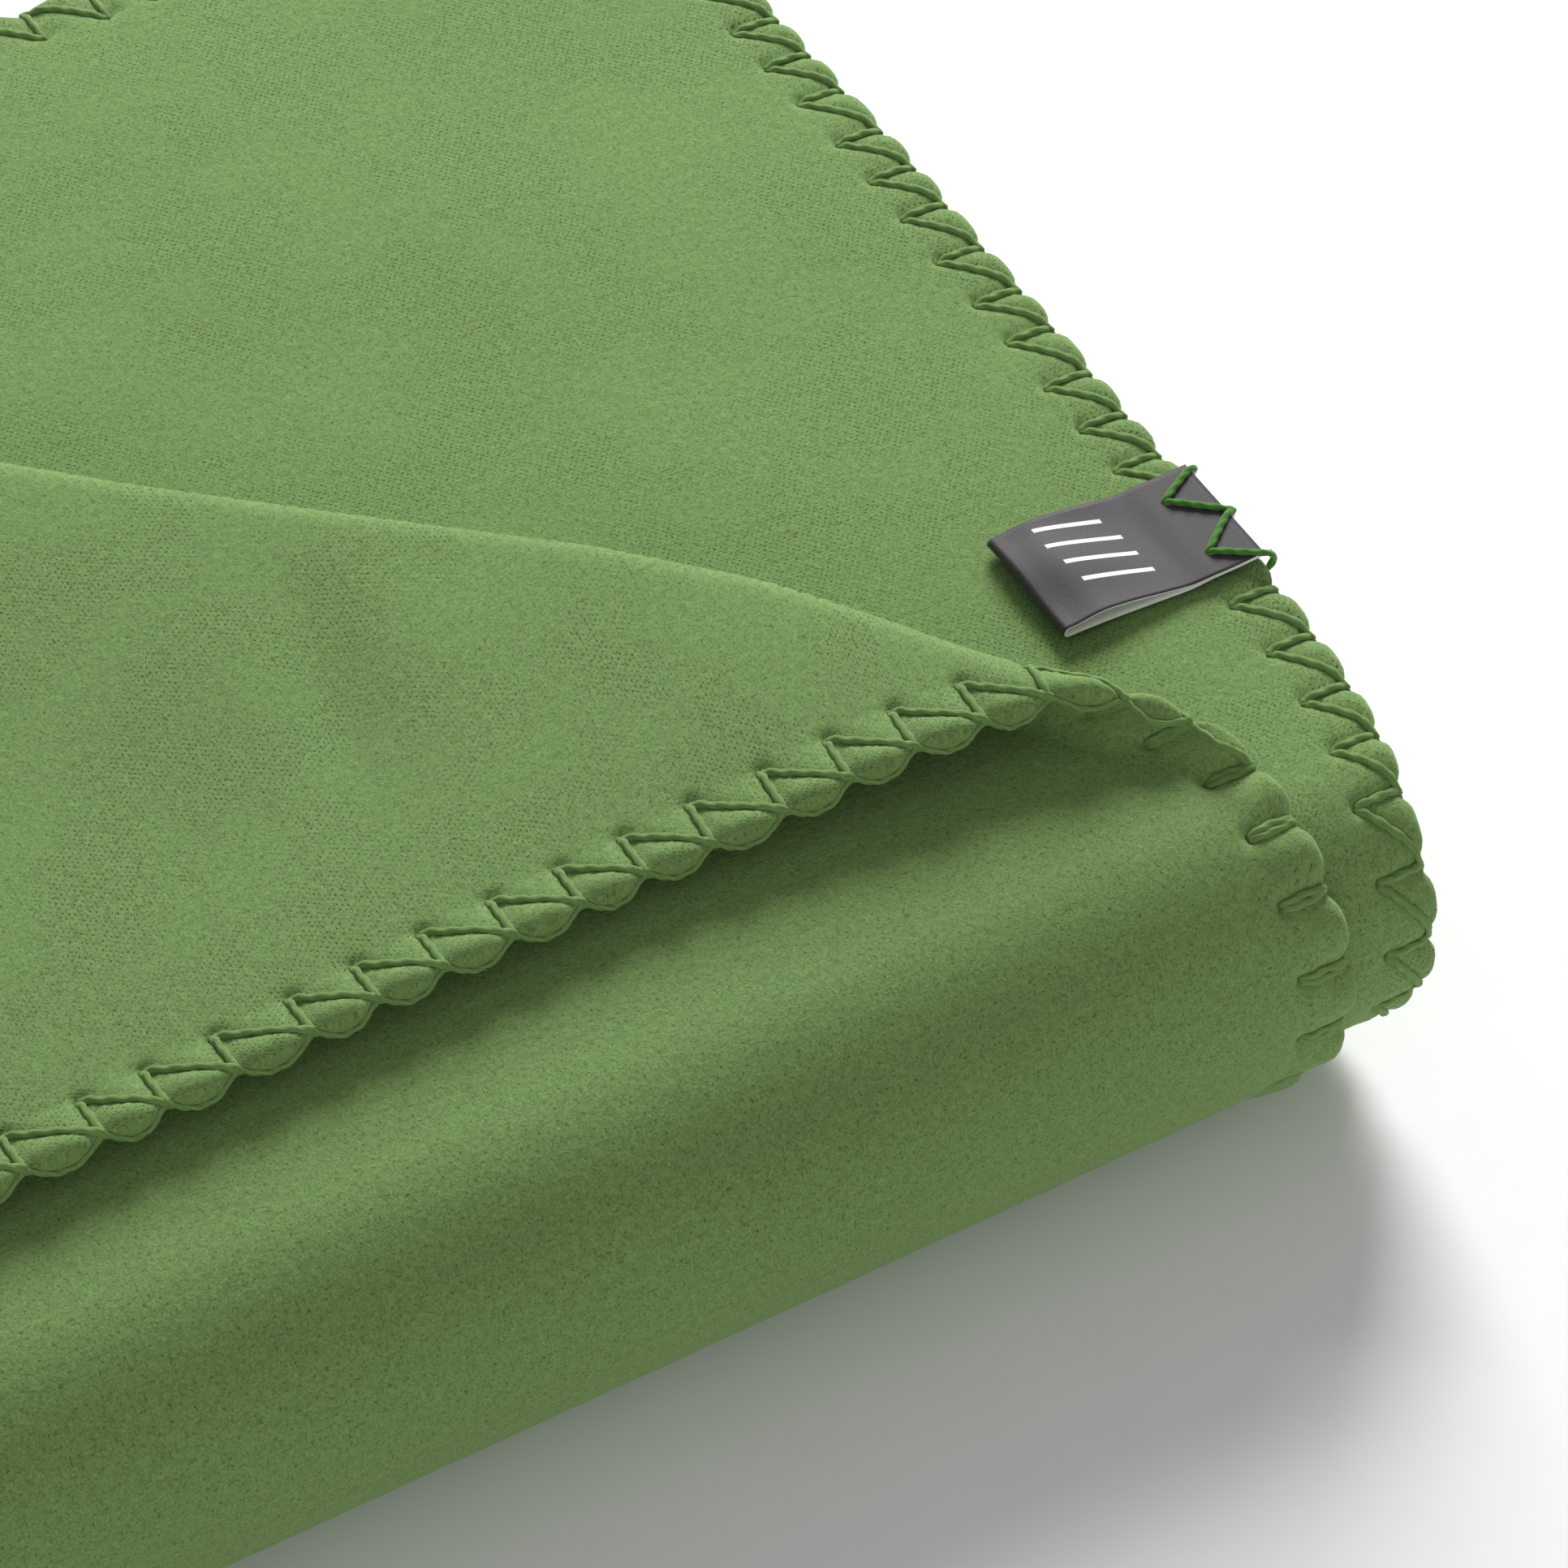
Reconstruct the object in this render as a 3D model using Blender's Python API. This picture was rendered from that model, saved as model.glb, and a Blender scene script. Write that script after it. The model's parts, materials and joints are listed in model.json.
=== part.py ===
"""Camp blanket, folded for storage, with one corner of its outer leaf turned back.

One sheet of polyester fleece is folded twice in its length and twice in its width. That gives
sixteen plies: eight U-shaped leaves nested around the front fold, the outermost one first.
+X runs along the front fold to the hemmed end, +Y away from the front fold, +Z up.
The origin is at the middle of the footprint, on the surface the blanket lies on.
"""

import math

import bmesh
import bpy
from mathutils import Vector

# ---------------------------------------------------------------- driving dimensions, metres
FOLDED_LENGTH = 0.400        # along the front fold, hem of the label leaf included
FOLDED_WIDTH = 0.325         # from the front fold to the back
LEAF_THICKNESS = 0.00345     # one ply of fleece with its nap
LEAF_GAP = 0.0003            # air between two plies, also the clearance of touching pieces
LEAF_COUNT = 8               # nested U-shaped leaves
FOLD_SEGMENTS = 24           # flats around the front fold

YARN_RADIUS = 0.0015         # the edging yarn along a hem, taken as one bead
BACK_HEM_STAGGER = 0.0015    # each leaf's back hem ends this much short of the next inner one

OUTER_HEM_SETBACK = 0.030    # the outer leaf's end hem, back from the label leaf's
PAIR_23_SETBACK = 0.016      # end folds and hems of the inner leaves, back from the same place
PAIR_45_SETBACK = 0.018
LEAF_6_SETBACK = 0.010
LEAF_7_SETBACK = 0.014
INNER_LEFT_SETBACK = 0.004   # the inner leaves stop short of the outer one at the left end

FLAP_HEM_FROM_FRONT = 0.057  # the turned-back hem, measured from the front fold
RIDGE_FROM_LABEL_END = 0.044  # along X, from the hemmed end to where the ridge meets that hem
FLAP_TAKE_UP = 0.020         # cloth used by the roll of the ridge, seen along X and Y
FLAP_LIFT = 0.0033           # the flap's underside above the outer leaf, at the ridge
FLAP_AXIS_DROP = 0.0010      # the ridge's turning axis below the flap's underside

LABEL_WIDTH = 0.025
LABEL_LENGTH = 0.040         # from the fold of its loop to the hem
LABEL_SEWN = 0.010           # the part caught by the hem's stitches
LABEL_FROM_FRONT = 0.088     # the middle of the label, measured from the front fold
TAPE_THICKNESS = 0.0005      # satin tape, one ply
TAIL_THICKNESS = 0.0013      # two plies pressed together
LOOP_HEIGHT = 0.0030         # how high the loop of tape springs open
LABEL_HINGE_GAP = 0.0025     # bare tape between the sewn part and the turning line

STITCH_RADIUS = 0.0007
STITCH_SPREAD = 0.0040       # half the width of a V stitch at the hem
STITCH_PITCH = 0.0120

# ---------------------------------------------------------------- derived places
PITCH = LEAF_THICKNESS + LEAF_GAP
STACK_HEIGHT = 2 * LEAF_COUNT * PITCH - LEAF_GAP
FOLD_RADIUS = STACK_HEIGHT / 2
X_LEFT = -FOLDED_LENGTH / 2
X_RIGHT = FOLDED_LENGTH / 2
Y_FRONT = -FOLDED_WIDTH / 2
Y_BACK = FOLDED_WIDTH / 2
FOLD_CENTRE = Vector((0, Y_FRONT + FOLD_RADIUS, FOLD_RADIUS))
HEM_BAND = 2 * YARN_RADIUS + LEAF_GAP

FLAP_HEM_Y = Y_FRONT + FLAP_HEM_FROM_FRONT
RIDGE_SUM = X_RIGHT - RIDGE_FROM_LABEL_END + FLAP_HEM_Y    # x + y along the ridge
FLAP_HEM_X = RIDGE_SUM - (Y_BACK - (LEAF_COUNT - 1) * BACK_HEM_STAGGER) + FLAP_TAKE_UP
LABEL_LEAF_TOP = STACK_HEIGHT - PITCH

# name, first and last of its nested U plies, setback at the left, setback at the hemmed end,
# and whether that end is a hem (an end fold joins the plies of a pair instead)
LEAVES = (
    ("outer_leaf", 0, 0, 0.0, OUTER_HEM_SETBACK, True),
    ("label_leaf", 1, 1, INNER_LEFT_SETBACK, 0.0, True),
    ("inner_pair_2_3", 2, 3, INNER_LEFT_SETBACK, PAIR_23_SETBACK, False),
    ("inner_pair_4_5", 4, 5, INNER_LEFT_SETBACK, PAIR_45_SETBACK, False),
    ("inner_leaf_6", 6, 6, INNER_LEFT_SETBACK, LEAF_6_SETBACK, True),
    ("inner_leaf_7", 7, 7, INNER_LEFT_SETBACK, LEAF_7_SETBACK, True),
)


def remove_everything():
    for old in list(bpy.data.objects):
        bpy.data.objects.remove(old)


def make_material(name, colour, roughness):
    material = bpy.data.materials.new(name)
    material.use_nodes = True
    shader = material.node_tree.nodes["Principled BSDF"]
    shader.inputs["Base Color"].default_value = (*colour, 1.0)
    shader.inputs["Roughness"].default_value = roughness
    shader.inputs["Metallic"].default_value = 0.0
    return material


def add_object(name, data, material, parent=None):
    piece = bpy.data.objects.new(name, data)
    bpy.context.scene.collection.objects.link(piece)
    if material:
        data.materials.append(material)
    if parent:
        piece.parent = parent
    return piece


def add_axis(name, place, turn=None):
    """An empty on a turning axis: what moves is its child."""
    axis = bpy.data.objects.new(name, None)
    bpy.context.scene.collection.objects.link(axis)
    axis.location = place
    if turn:
        axis.rotation_mode = "AXIS_ANGLE"
        axis.rotation_axis_angle = turn
    return axis


def add_strip(name, outer, inner, sweep, material, parent=None):
    """A strip of cloth: the space between two paths of equal length, carried along sweep."""
    mesh = bpy.data.meshes.new(name)
    shape = bmesh.new()
    section = [shape.verts.new(point) for point in outer]
    section += [shape.verts.new(point) for point in reversed(inner)]
    count = len(outer)
    for i in range(count - 1):
        far = 2 * count - 1 - i
        shape.faces.new((section[i], section[i + 1], section[far - 1], section[far]))
    grown = bmesh.ops.extrude_face_region(shape, geom=shape.faces[:])
    moved = [item for item in grown["geom"] if isinstance(item, bmesh.types.BMVert)]
    bmesh.ops.translate(shape, verts=moved, vec=sweep)
    bmesh.ops.recalc_face_normals(shape, faces=shape.faces[:])
    shape.to_mesh(mesh)
    shape.free()
    mesh.shade_smooth()
    mesh.set_sharp_from_angle(angle=math.radians(30))
    return add_object(name, mesh, material, parent)


def add_plate(name, corners, thickness, material, parent=None):
    """A flat piece of cloth: corners drawn on its underside, given a thickness."""
    mesh = bpy.data.meshes.new(name)
    shape = bmesh.new()
    shape.faces.new([shape.verts.new(corner) for corner in corners])
    grown = bmesh.ops.extrude_face_region(shape, geom=shape.faces[:])
    moved = [item for item in grown["geom"] if isinstance(item, bmesh.types.BMVert)]
    bmesh.ops.translate(shape, verts=moved, vec=(0, 0, thickness))
    bmesh.ops.recalc_face_normals(shape, faces=shape.faces[:])
    shape.to_mesh(mesh)
    shape.free()
    return add_object(name, mesh, material, parent)


def add_yarn(name, points, radius, material, parent=None):
    """Yarn laid along points, with closed ends."""
    curve = bpy.data.curves.new(name, "CURVE")
    curve.dimensions = "3D"
    curve.bevel_depth = radius
    curve.bevel_resolution = 2
    curve.use_fill_caps = True
    line = curve.splines.new("POLY")
    line.points.add(len(points) - 1)
    for knot, point in zip(line.points, points):
        knot.co = (*point, 1)
    line.use_smooth = True
    return add_object(name, curve, material, parent)


def outer_radius(leaf):
    return FOLD_RADIUS - leaf * PITCH


def inner_radius(leaf):
    return outer_radius(leaf) - LEAF_THICKNESS


def back_hem_y(leaf):
    return Y_BACK - (LEAF_COUNT - 1 - leaf) * BACK_HEM_STAGGER


def u_path(x, radius, low_end, high_end):
    """Along the bottom, around the front fold and back along the top."""
    points = [Vector((x, low_end, FOLD_RADIUS - radius))]
    for step in range(FOLD_SEGMENTS + 1):
        angle = -math.pi / 2 - math.pi * step / FOLD_SEGMENTS
        points.append(FOLD_CENTRE + Vector((x, radius * math.cos(angle), radius * math.sin(angle))))
    points.append(Vector((x, high_end, FOLD_RADIUS + radius)))
    return points


def top_ply_end(leaf):
    """Where the cloth of a leaf's top ply ends, short of its back hem's yarn."""
    return back_hem_y(leaf) - HEM_BAND


def build_leaf(name, first, last, left_setback, end_setback, hemmed, fleece):
    """One U-shaped leaf, or the two of a pair; the end hem's yarn stands beyond the cloth."""
    left = X_LEFT + left_setback
    right = X_RIGHT - end_setback - (HEM_BAND if hemmed else 0.0)
    outer = u_path(left, outer_radius(first), Y_BACK, top_ply_end(first))
    inner = u_path(left, inner_radius(last), Y_BACK, top_ply_end(first))
    return add_strip(name, outer, inner, Vector((right - left, 0, 0)), fleece)


def build_end_hem(name, leaf, end_setback, yarn):
    """Edging yarn around the U at a leaf's end hem; the outer leaf's stops at the ridge."""
    hem_x = X_RIGHT - end_setback
    high_end = RIDGE_SUM - hem_x if leaf == 0 else top_ply_end(leaf)
    middle = outer_radius(leaf) - LEAF_THICKNESS / 2
    points = u_path(hem_x - YARN_RADIUS, middle, Y_BACK, high_end)
    add_yarn(f"end_hem_{name}", points, YARN_RADIUS, yarn)


def build_back_hem(leaf, first, left_setback, right, yarn):
    """Edging yarn along a leaf's back hem, level with the middle of its top ply."""
    height = FOLD_RADIUS + outer_radius(leaf) - LEAF_THICKNESS / 2
    y = back_hem_y(first) - YARN_RADIUS
    ends = [(X_LEFT + left_setback, y, height), (right, y, height)]
    add_yarn(f"back_hem_{leaf}", ends, YARN_RADIUS, yarn)


def build_leaves_and_hems(fleece, yarn):
    for name, first, last, left_setback, end_setback, hemmed in LEAVES:
        leaf = build_leaf(name, first, last, left_setback, end_setback, hemmed, fleece)
        right = X_RIGHT - end_setback
        if hemmed:
            build_end_hem(name, first, end_setback, yarn)
            right -= HEM_BAND
        if first == 0:
            cut_outer_leaf(leaf)
            right = RIDGE_SUM - back_hem_y(first) - HEM_BAND
        for ply in range(first, last + 1):
            build_back_hem(ply, first, left_setback, right, yarn)


def cut_outer_leaf(outer):
    """The top ply of the outer leaf ends at the ridge, where its corner turns back."""
    reach = FOLDED_LENGTH + FOLDED_WIDTH
    mesh = bpy.data.meshes.new("ridge_cutter")
    shape = bmesh.new()
    bmesh.ops.create_cube(shape, size=1.0)
    bmesh.ops.scale(shape, verts=shape.verts[:], vec=(reach, 2 * reach, STACK_HEIGHT))
    bmesh.ops.translate(shape, verts=shape.verts[:], vec=(reach / 2, 0, STACK_HEIGHT / 2))
    shape.to_mesh(mesh)
    shape.free()
    cutter = add_object("ridge_cutter", mesh, None)
    cutter.location = (RIDGE_SUM / 2, RIDGE_SUM / 2, FOLD_RADIUS)
    cutter.rotation_euler = (0, 0, math.pi / 4)
    cutter.hide_render = True
    cutter.display_type = "WIRE"
    cut = outer.modifiers.new("corner turned back", "BOOLEAN")
    cut.operation = "DIFFERENCE"
    cut.object = cutter


def build_corner_flap(fleece, yarn):
    """The turned-back corner, resting with its far corner on the outer leaf."""
    tip = Vector((RIDGE_SUM - FLAP_HEM_Y, FLAP_HEM_Y, STACK_HEIGHT + FLAP_LIFT - FLAP_AXIS_DROP))
    far_reach = (tip.x - FLAP_HEM_X) / math.sqrt(2)
    tilt = math.atan((FLAP_LIFT - LEAF_GAP) / far_reach)
    ridge = Vector((-1, 1, 0)).normalized()
    axis = add_axis("corner_turn_axis", tip, (-tilt, *ridge))

    span = tip.x - FLAP_HEM_X
    low = FLAP_AXIS_DROP
    corners = [
        Vector((-HEM_BAND, HEM_BAND, low)),
        Vector((HEM_BAND - span, HEM_BAND, low)),
        Vector((HEM_BAND - span, span - HEM_BAND, low)),
    ]
    add_plate("corner_flap", corners, LEAF_THICKNESS, fleece, axis)

    middle = low + LEAF_THICKNESS / 2
    near = -2 * HEM_BAND
    front = [(near, YARN_RADIUS, middle), (HEM_BAND - span, YARN_RADIUS, middle)]
    add_yarn("flap_hem_front", front, YARN_RADIUS, yarn, axis)
    side_x = YARN_RADIUS - span
    side = [(side_x, HEM_BAND, middle), (side_x, span - 2 * HEM_BAND, middle)]
    add_yarn("flap_hem_side", side, YARN_RADIUS, yarn, axis)


def build_label(tape, yarn):
    """A folded loop of satin tape, its ends sewn to the label leaf by two V stitches."""
    middle_y = Y_FRONT + LABEL_FROM_FRONT
    low_y = middle_y - LABEL_WIDTH / 2
    across = Vector((0, LABEL_WIDTH, 0))
    bottom = LABEL_LEAF_TOP + LEAF_GAP
    sewn_x = X_RIGHT - LABEL_SEWN

    def tail_point(x, height):
        return Vector((x, low_y, bottom + height))

    tail_top = [tail_point(sewn_x, TAIL_THICKNESS), tail_point(X_RIGHT, TAIL_THICKNESS)]
    tail_low = [tail_point(sewn_x, 0), tail_point(X_RIGHT, 0)]
    add_strip("label_tail", tail_top, tail_low, across, tape)

    hinge = Vector((sewn_x - LABEL_HINGE_GAP, middle_y, bottom + TAIL_THICKNESS / 2))
    axis = add_axis("label_flip_axis", hinge)
    near = -LEAF_GAP
    far = hinge.x - (X_RIGHT - LABEL_LENGTH)
    outer_bend = LOOP_HEIGHT / 2
    bend_x = outer_bend - far

    def loop_path(inset):
        rest = -TAIL_THICKNESS / 2
        start_y = -LABEL_WIDTH / 2
        points = [Vector((near, start_y, rest + inset))]
        for step in range(9):
            angle = -math.pi / 2 - math.pi * step / 8
            across_x = (outer_bend - inset) * math.cos(angle)
            rise = outer_bend + (outer_bend - inset) * math.sin(angle)
            points.append(Vector((bend_x + across_x, start_y, rest + rise)))
        points.append(Vector((near, start_y, rest + TAIL_THICKNESS - inset)))
        return points

    add_strip("label_loop", loop_path(0), loop_path(TAPE_THICKNESS), across, tape, axis)

    stitch_z = bottom + TAIL_THICKNESS + LEAF_GAP + STITCH_RADIUS
    hem_x = X_RIGHT - STITCH_RADIUS
    apex_x = sewn_x + STITCH_RADIUS
    for name, side in (("label_stitch_front", -0.5), ("label_stitch_back", 0.5)):
        y = middle_y + side * STITCH_PITCH
        points = [
            (hem_x, y - STITCH_SPREAD, stitch_z),
            (apex_x, y, stitch_z),
            (hem_x, y + STITCH_SPREAD, stitch_z),
        ]
        add_yarn(name, points, STITCH_RADIUS, yarn)


remove_everything()
fleece_green = make_material("fleece_green", (0.19, 0.32, 0.11), 0.95)
edging_yarn = make_material("edging_yarn", (0.14, 0.26, 0.08), 0.85)
label_tape = make_material("label_tape", (0.09, 0.085, 0.09), 0.45)
build_leaves_and_hems(fleece_green, edging_yarn)
build_corner_flap(fleece_green, edging_yarn)
build_label(label_tape, edging_yarn)
bpy.context.view_layer.update()
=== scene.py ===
"""The looks of a folded green fleece blanket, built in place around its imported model."""

import json
import math

import bpy
import numpy as np
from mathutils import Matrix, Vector


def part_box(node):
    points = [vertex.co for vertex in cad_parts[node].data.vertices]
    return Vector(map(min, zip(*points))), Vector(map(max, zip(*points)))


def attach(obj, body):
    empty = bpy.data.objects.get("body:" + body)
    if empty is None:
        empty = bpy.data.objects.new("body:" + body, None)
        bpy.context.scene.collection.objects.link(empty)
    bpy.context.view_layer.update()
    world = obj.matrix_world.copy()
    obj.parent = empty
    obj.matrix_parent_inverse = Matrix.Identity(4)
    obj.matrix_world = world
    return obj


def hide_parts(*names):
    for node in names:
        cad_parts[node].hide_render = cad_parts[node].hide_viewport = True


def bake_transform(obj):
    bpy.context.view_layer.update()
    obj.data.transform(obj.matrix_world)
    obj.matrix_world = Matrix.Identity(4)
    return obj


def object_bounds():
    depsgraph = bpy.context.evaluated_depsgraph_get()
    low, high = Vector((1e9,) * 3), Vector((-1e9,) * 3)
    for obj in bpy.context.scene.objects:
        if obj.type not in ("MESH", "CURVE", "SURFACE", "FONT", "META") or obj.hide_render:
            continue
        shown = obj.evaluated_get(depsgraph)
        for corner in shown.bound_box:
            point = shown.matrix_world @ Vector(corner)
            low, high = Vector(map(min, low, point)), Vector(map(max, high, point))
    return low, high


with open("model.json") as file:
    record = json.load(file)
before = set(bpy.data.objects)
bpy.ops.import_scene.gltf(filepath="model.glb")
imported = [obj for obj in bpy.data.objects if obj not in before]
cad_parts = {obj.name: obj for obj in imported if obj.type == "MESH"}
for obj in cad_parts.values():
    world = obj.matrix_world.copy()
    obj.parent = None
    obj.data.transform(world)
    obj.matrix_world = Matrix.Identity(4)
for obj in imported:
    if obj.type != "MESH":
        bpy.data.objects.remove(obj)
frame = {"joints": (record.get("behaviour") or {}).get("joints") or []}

cad_low, cad_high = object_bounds()

# ------------------------------------------------------------------ camera, floor and studio
# A product table: white paper underneath, a broad soft light behind and above, and a white
# reflector low in front. The camera looks down at the hemmed corner of the fold.

MM = 0.001
CAMERA_AZIMUTH = math.radians(-30)
CAMERA_HEIGHT = math.radians(47)
CAMERA_DISTANCE = 1000 * MM
CAMERA_LENS = 134.0
aim = Vector((cad_high.x - 82.5 * MM, cad_low.y + 95.3 * MM, 25.9 * MM))


def linear(hex_colour):
    """An sRGB hex colour as linear red, green, blue, and an alpha of 1."""
    channels = [int(hex_colour[i:i + 2], 16) / 255 for i in (1, 3, 5)]
    return [c / 12.92 if c <= 0.04045 else ((c + 0.055) / 1.055) ** 2.4 for c in channels] + [1.0]


def add_node(tree, kind, inputs=None, output=0, **settings):
    """Adds a node and gives back one output; an input is a value, or an output to link."""
    node = tree.nodes.new(kind)
    for name, value in settings.items():
        setattr(node, name, value)
    for key, value in (inputs or {}).items():
        if isinstance(value, bpy.types.NodeSocket):
            tree.links.new(value, node.inputs[key])
        else:
            node.inputs[key].default_value = value
    return node.outputs[output]


def new_material(name):
    """An empty material: its node tree, and the output that its shader goes to."""
    material = bpy.data.materials.new(name)
    material.use_nodes = True
    material.node_tree.nodes.clear()
    output = material.node_tree.nodes.new("ShaderNodeOutputMaterial")
    return material, material.node_tree, output.inputs["Surface"]


def put_camera():
    away = Vector((
        math.sin(CAMERA_AZIMUTH) * math.cos(CAMERA_HEIGHT),
        -math.cos(CAMERA_AZIMUTH) * math.cos(CAMERA_HEIGHT),
        math.sin(CAMERA_HEIGHT),
    ))
    camera = bpy.data.objects.new("camera", bpy.data.cameras.new("camera"))
    bpy.context.scene.collection.objects.link(camera)
    camera.data.lens = CAMERA_LENS
    camera.location = aim + away * CAMERA_DISTANCE
    camera.rotation_mode = "QUATERNION"
    camera.rotation_quaternion = (-away).to_track_quat("-Z", "Y")
    bpy.context.scene.camera = camera


def put_floor():
    floor_mesh = bpy.data.meshes.new("paper_floor")
    reach = 6.0
    corners = [(-reach, -reach, 0), (reach, -reach, 0), (reach, reach, 0), (-reach, reach, 0)]
    floor_mesh.from_pydata(corners, [], [(0, 1, 2, 3)])
    floor = bpy.data.objects.new("paper_floor", floor_mesh)
    bpy.context.scene.collection.objects.link(floor)
    # White uncoated paper, pressed smooth: an even matt white without gloss.
    paper, tree, surface = new_material("white_background_paper")
    grain = add_node(tree, "ShaderNodeTexNoise", {"Scale": 0.9 / MM, "Detail": 3.0})
    tone = add_node(tree, "ShaderNodeMix", {
        "Factor": grain, "A": linear("#F7F7F7"), "B": linear("#FBFBFB")}, "Result", data_type="RGBA")
    shader = add_node(tree, "ShaderNodeBsdfPrincipled", {
        "Base Color": tone, "Roughness": 0.9, "IOR": 1.5, "Specular IOR Level": 0.1})
    tree.links.new(shader, surface)
    floor_mesh.materials.append(paper)


def put_light(name, place, size, power):
    light = bpy.data.lights.new(name, "AREA")
    light.shape = "RECTANGLE"
    light.size, light.size_y = size
    light.energy = power
    lamp = bpy.data.objects.new(name, light)
    bpy.context.scene.collection.objects.link(lamp)
    lamp.location = place
    lamp.rotation_mode = "QUATERNION"
    lamp.rotation_quaternion = (aim - Vector(place)).to_track_quat("-Z", "Y")


put_camera()
put_floor()
put_light("soft_box_behind", (1.1, 1.4, 1.02), (0.9, 0.8), 64)
put_light("reflector_front", (-0.4, -1.9, 0.55), (1.6, 1.0), 9)
world = bpy.data.worlds.new("white_studio")
world.use_nodes = True
world.node_tree.nodes["Background"].inputs["Color"].default_value = (1, 1, 1, 1)
world.node_tree.nodes["Background"].inputs["Strength"].default_value = 0.31
bpy.context.scene.world = world
bpy.context.scene.view_settings.view_transform = "Standard"


# ------------------------------------------------------------------ the outer ply
# The blanket is one sheet of brushed polyester fleece, hemmed all round and folded in four
# each way. The outermost ply lies reverse side out, and its hemmed corner is turned back over
# a soft diagonal roll, so that the flap shows the knit face.

# Folding: across, the plies go zigzag between the left and right folds; along, each runs
# under the stack, round the front fold and back over the top.

stack_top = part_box("outer_leaf")[1].z
PITCH = stack_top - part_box("label_leaf")[1].z
PLY = PITCH - 0.3 * MM
FOLD_Z = stack_top / 2
FRONT_Y = cad_low.y + FOLD_Z
LEFT_X = cad_low.x + PLY / 2 + 1.5 * PITCH
BACK_Z = PLY / 2 + 3.5 * PITCH
BACK_Y = cad_high.y - PLY / 2 - 3.5 * PITCH
TUCK = 9 * MM                        # how far a ply goes on, out of sight, past a fold
BAND_STEP = 0.75 * MM                # how close the grid's lines are over a stitched band


def ply_radius(ply):
    """The radius of a ply's middle round the front fold; the outermost ply is 0."""
    return FOLD_Z - PLY / 2 - ply * PITCH


def steps(start, end, step):
    """Evenly spaced values from start up to, but not including, end."""
    return np.linspace(start, end, max(1, round(abs(end - start) / step)), endpoint=False)


def from_hem(length, fine, coarse):
    """Distances from a hem: close together over the stitched band, then wider apart."""
    lines = [0.0, 0.25 * MM, 0.6 * MM, 1.1 * MM]
    step = fine
    while lines[-1] + step < length - coarse / 2:
        lines.append(lines[-1] + step)
        if lines[-1] > 14 * MM:
            step = min(coarse, step * 1.35)
    return np.array(lines + [length])


def along_profile(hem_y, top_step, front_step, low_step, back_fold):
    """Lines along the profile: 0-1 tucked in, 1-2 back fold, 2-3 underside, 3-4 front, 4-5 top."""
    parts = []
    if back_fold:
        parts += [steps(0, 1, 0.5), steps(1, 2, 0.1)]
    parts.append(2 + steps(0, 1, low_step / (BACK_Y - FRONT_Y)))
    parts.append(3 + steps(0, 1, front_step))
    top = hem_y - FRONT_Y
    parts.append(5 - from_hem(top, BAND_STEP, top_step)[::-1] / top)
    return np.concatenate(parts)


def profile_point(x, radius, tau, hem_y):
    """Where the sheet's middle lies: x across, and tau along the folded profile."""
    low_z = FOLD_Z - radius
    rho = BACK_Z - low_z
    tuck = np.clip(tau, 0, 1)
    back = math.pi / 2 - math.pi * np.clip(tau - 1, 0, 1)
    under = np.clip(tau - 2, 0, 1)
    front = -math.pi / 2 - math.pi * np.clip(tau - 3, 0, 1)
    over = np.clip(tau - 4, 0, 1)
    start_y = np.where(rho > 0, BACK_Y, BACK_Y - TUCK)
    y = np.where(tau < 1, BACK_Y - TUCK * (1 - tuck), BACK_Y + rho * np.cos(back))
    z = np.where(tau < 1, BACK_Z + rho, BACK_Z + rho * np.sin(back))
    y = np.where(tau >= 2, start_y + (FRONT_Y - start_y) * under, y)
    z = np.where(tau >= 2, low_z, z)
    y = np.where(tau >= 3, FRONT_Y + radius * np.cos(front), y)
    z = np.where(tau >= 3, FOLD_Z + radius * np.sin(front), z)
    y = np.where(tau >= 4, FRONT_Y + (hem_y - FRONT_Y) * over, y)
    z = np.where(tau >= 4, FOLD_Z + radius, z)
    return np.stack(np.broadcast_arrays(x, y, z), axis=-1)


def normals_of(points):
    """The outward direction at each point of a grid of points."""
    across = np.gradient(points, axis=0)
    along = np.gradient(points, axis=1)
    out = np.cross(along, across)
    return out / np.maximum(np.linalg.norm(out, axis=-1, keepdims=True), 1e-12)


def swell(x, y, seed, size):
    """Slow, soft unevenness, about -1 to 1, as limp cloth has; size is its wavelength."""
    waves = np.random.default_rng(seed)
    layers = 3
    total = 0
    for _ in range(layers):
        angle = waves.uniform(0, math.pi)
        length = size * waves.uniform(0.6, 1.3)
        shift = waves.uniform(0, 2 * math.pi)
        way = x * math.cos(angle) + y * math.sin(angle)
        total = total + np.sin(2 * math.pi * way / length + shift)
    return total / layers


def smooth(value, low, high):
    """Rises softly from 0 at low to 1 at high."""
    t = np.clip((value - low) / (high - low), 0, 1)
    return t * t * (3 - 2 * t)


# Hemming: the raw edge is overstitched with soft yarn, a hole every 12 mm and 10 mm in. The
# yarn draws the edge in where it turns round it, beds into the nap, and leaves the fleece
# between two turns to swell into a pillow, fuller on the reverse.

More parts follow.
